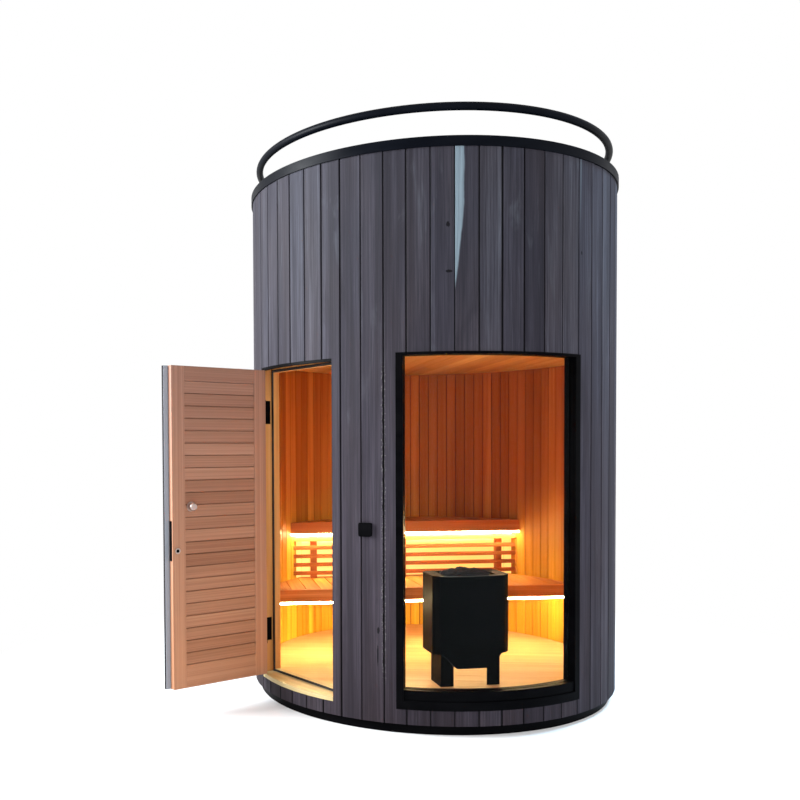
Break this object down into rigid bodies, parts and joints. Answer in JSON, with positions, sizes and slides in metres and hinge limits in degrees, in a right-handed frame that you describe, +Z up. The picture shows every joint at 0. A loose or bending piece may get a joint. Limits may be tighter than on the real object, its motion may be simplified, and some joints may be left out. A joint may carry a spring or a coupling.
{
  "type": "outdoor sauna",
  "caption": "Round outdoor sauna of upright boards with a curved window, a hinged door, two bench tiers, a stone heater and a handrail above the rim.",
  "frame": {"origin": "on the drum's vertical axis, at ground level", "axes": "+Z up, -Y towards the front between the door and the window, +X to the right seen from the front"},
  "size_m": [2.6126, 2.2736, 3.2961],
  "materials": {
    "weathered_cladding": "weathered, thin grey stain",
    "wall_lining": "planed",
    "pale_boards": "planed",
    "cedar_trim": "planed",
    "roof_membrane": "matte",
    "bench_timber": "planed",
    "door_timber": "planed",
    "satin_metal": "satin",
    "black_steel": "satin powder coat",
    "black_hardware": "satin",
    "clear_glass": "polished",
    "black_seal": "matte",
    "light_diffuser": "opal",
    "heater_enamel": "satin",
    "dark_stone": "rough stone"
  },
  "bodies": {
    "cabin": {"base_ring": "black_steel", "bench_front_slats": "bench_timber", "bench_posts": "bench_timber", "ceiling": "cedar_trim", "cladding_back": "weathered_cladding", "cladding_left": "weathered_cladding", "cladding_over_door": "weathered_cladding", "cladding_over_window": "weathered_cladding", "cladding_pier": "weathered_cladding", "cladding_right": "weathered_cladding", "cladding_under_door": "weathered_cladding", "cladding_under_window": "weathered_cladding", "control_box": "black_hardware", "door_gasket": "black_seal", "door_head": "cedar_trim", "door_jamb_hinge": "cedar_trim", "door_jamb_latch": "cedar_trim", "door_sill": "pale_boards", "floor_deck": "pale_boards", "floor_joists": "pale_boards", "handrail": "black_steel", "heater_body": "heater_enamel", "heater_legs": "heater_enamel", "heater_stones": "dark_stone", "jamb_hinges": "black_hardware", "light_strips": "light_diffuser", "lower_fascia": "bench_timber", "lower_seat": "bench_timber", "rail_posts": "black_steel", "rim_cap": "black_steel", "roof_deck": "roof_membrane", "upper_fascia": "bench_timber", "upper_seat": "bench_timber", "wall_back_left": "wall_lining", "wall_back_right": "wall_lining", "wall_left": "wall_lining", "wall_over_door": "wall_lining", "wall_over_window": "wall_lining", "wall_pier": "wall_lining", "wall_right": "wall_lining", "wall_under_door": "wall_lining", "wall_under_window": "wall_lining", "window_frame": "black_steel", "window_glass": "clear_glass"},
    "door": {"leaf_frame": "door_timber", "leaf_panel": "door_timber", "leaf_cladding": "weathered_cladding", "leaf_hinges": "black_hardware", "door_knob": "satin_metal", "door_lock": "black_hardware"}
  },
  "joints": [
    {"name": "door_hinge", "type": "hinge", "parent": "cabin", "child": "door", "pos_m": [-1.00479, -0.53477, 1], "axis": [0, 0, 1], "range_deg": [-9, 91]}
  ]
}
